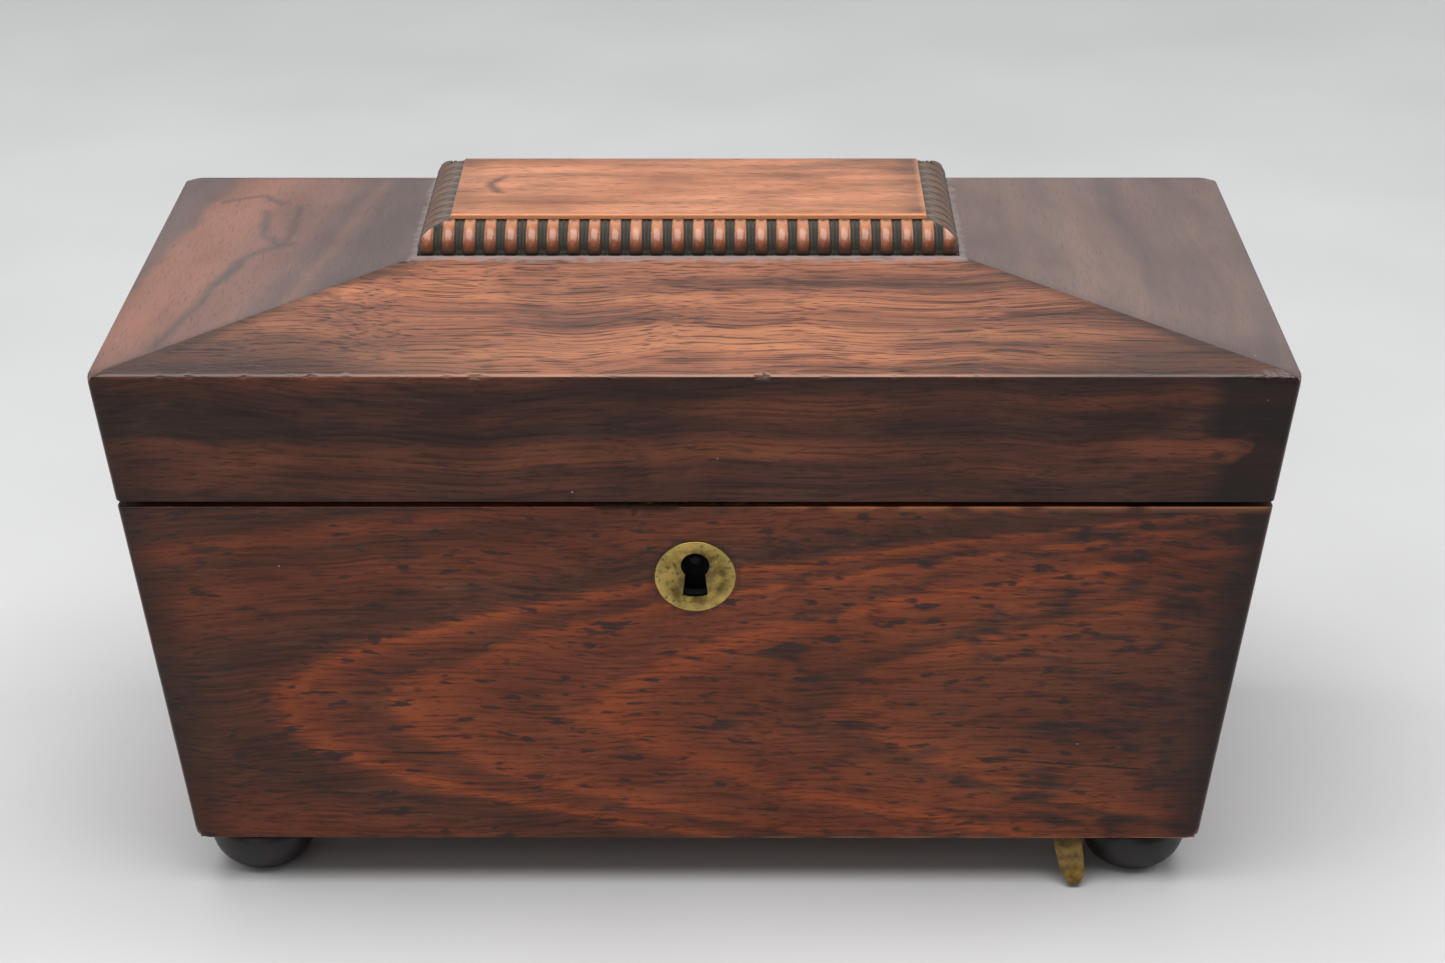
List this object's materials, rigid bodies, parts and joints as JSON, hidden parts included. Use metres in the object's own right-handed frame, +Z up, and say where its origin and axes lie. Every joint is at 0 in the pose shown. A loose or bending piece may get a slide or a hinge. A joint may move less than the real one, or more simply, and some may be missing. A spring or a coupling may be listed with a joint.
{
  "type": "tea caddy",
  "caption": "Rectangular tapered wooden tea caddy with a hipped hinged lid, a gadrooned tablet, bun feet, a lock, a glass mixing bowl and lidded tea compartments.",
  "frame": {"origin": "on the surface that the box stands on, under the middle of its outline", "axes": "+Z up, +X to the right along the length, the lock and keyhole face -Y, the hinges are at +Y"},
  "size_m": [0.3056, 0.1624, 0.1803],
  "materials": {
    "rosewood_veneer": "Brazilian rosewood veneer, French polished and waxed",
    "rosewood_carved": "solid rosewood moulding, polished on its high parts",
    "carcase_wood": "planed mahogany, unpolished",
    "ebonised_wood": "turned and blackened beech, waxed",
    "turned_bone": "turned and polished bone",
    "old_brass": "aged brass, rubbed bright in places",
    "lock_iron": "filed iron, dulled",
    "lead_foil": "dull tinned lead foil",
    "green_baize": "felted wool cloth",
    "lid_velvet": "cotton velvet",
    "bowl_glass": "clear blown glass, cut and polished",
    "old_tape": "yellowed cellulose tape"
  },
  "bodies": {
    "case": {"case_bottom_board": "carcase_wood", "case_rim_lipping": "rosewood_veneer", "case_screws": "old_brass", "escutcheon": "old_brass", "foil_linings": "lead_foil", "ledge_strips": "carcase_wood", "bowl_board": "rosewood_veneer", "well_baize": "green_baize", "lock_plate": "old_brass", "lock_cap": "lock_iron", "partition_left": "carcase_wood", "partition_right": "carcase_wood", "hinge_pins": "old_brass", "tape_strip": "old_tape", "hinge_case_leaf_left": "old_brass", "hinge_case_leaf_right": "old_brass", "case_front_board": "carcase_wood", "case_back_board": "carcase_wood", "case_left_board": "carcase_wood", "case_right_board": "carcase_wood", "case_front_veneer": "rosewood_veneer", "case_back_veneer": "rosewood_veneer", "case_left_veneer": "rosewood_veneer", "case_right_veneer": "rosewood_veneer", "foot_front_left": "ebonised_wood", "foot_front_right": "ebonised_wood", "foot_back_left": "ebonised_wood", "foot_back_right": "ebonised_wood"},
    "lid": {"lid_top_board": "carcase_wood", "lid_pad": "lid_velvet", "lid_rim_lipping": "rosewood_veneer", "lid_screws": "old_brass", "link_plate": "old_brass", "tablet_board": "rosewood_carved", "tablet_top": "rosewood_veneer", "hinge_lid_leaf_left": "old_brass", "hinge_lid_leaf_right": "old_brass", "lid_front_board": "carcase_wood", "lid_back_board": "carcase_wood", "lid_left_board": "carcase_wood", "lid_right_board": "carcase_wood", "lid_front_veneer": "rosewood_veneer", "lid_back_veneer": "rosewood_veneer", "lid_left_veneer": "rosewood_veneer", "lid_right_veneer": "rosewood_veneer", "slope_front_veneer": "rosewood_veneer", "slope_back_veneer": "rosewood_veneer", "slope_left_veneer": "rosewood_veneer", "slope_right_veneer": "rosewood_veneer", "gadroon_front": "rosewood_carved", "gadroon_back": "rosewood_carved", "gadroon_left": "rosewood_carved", "gadroon_right": "rosewood_carved"},
    "tea_lid_left": {"inner_lid_left": "rosewood_veneer", "knob_left": "turned_bone"},
    "tea_lid_right": {"inner_lid_right": "rosewood_veneer", "knob_right": "turned_bone"},
    "bowl": {"mixing_bowl": "bowl_glass"},
    "bolt": {"lock_bolt": "lock_iron"},
    "lever": {"lock_lever": "lock_iron"}
  },
  "joints": [
    {"name": "lid_hinge", "type": "hinge", "parent": "case", "child": "lid", "pos_m": [0, 0.0785, 0.11955], "axis": [-1, 0, 0], "range_deg": [0, 100]},
    {"name": "tea_lid_left_lift", "type": "slide", "parent": "case", "child": "tea_lid_left", "axis": [0, 0, 1], "range_m": [0, 0.02]},
    {"name": "tea_lid_right_lift", "type": "slide", "parent": "case", "child": "tea_lid_right", "axis": [0, 0, 1], "range_m": [0, 0.02]},
    {"name": "bowl_lift", "type": "slide", "parent": "case", "child": "bowl", "axis": [0, 0, 1], "range_m": [0, 0.026]},
    {"name": "bolt_slide", "type": "slide", "parent": "case", "child": "bolt", "axis": [1, 0, 0], "range_m": [0, 0.005]},
    {"name": "lever_pivot", "type": "hinge", "parent": "case", "child": "lever", "pos_m": [-0.015, -0.06802, 0.1027], "axis": [0, -0.9935, -0.1142], "range_deg": [0, 5], "stiffness_Nm_per_rad": 0.02}
  ]
}
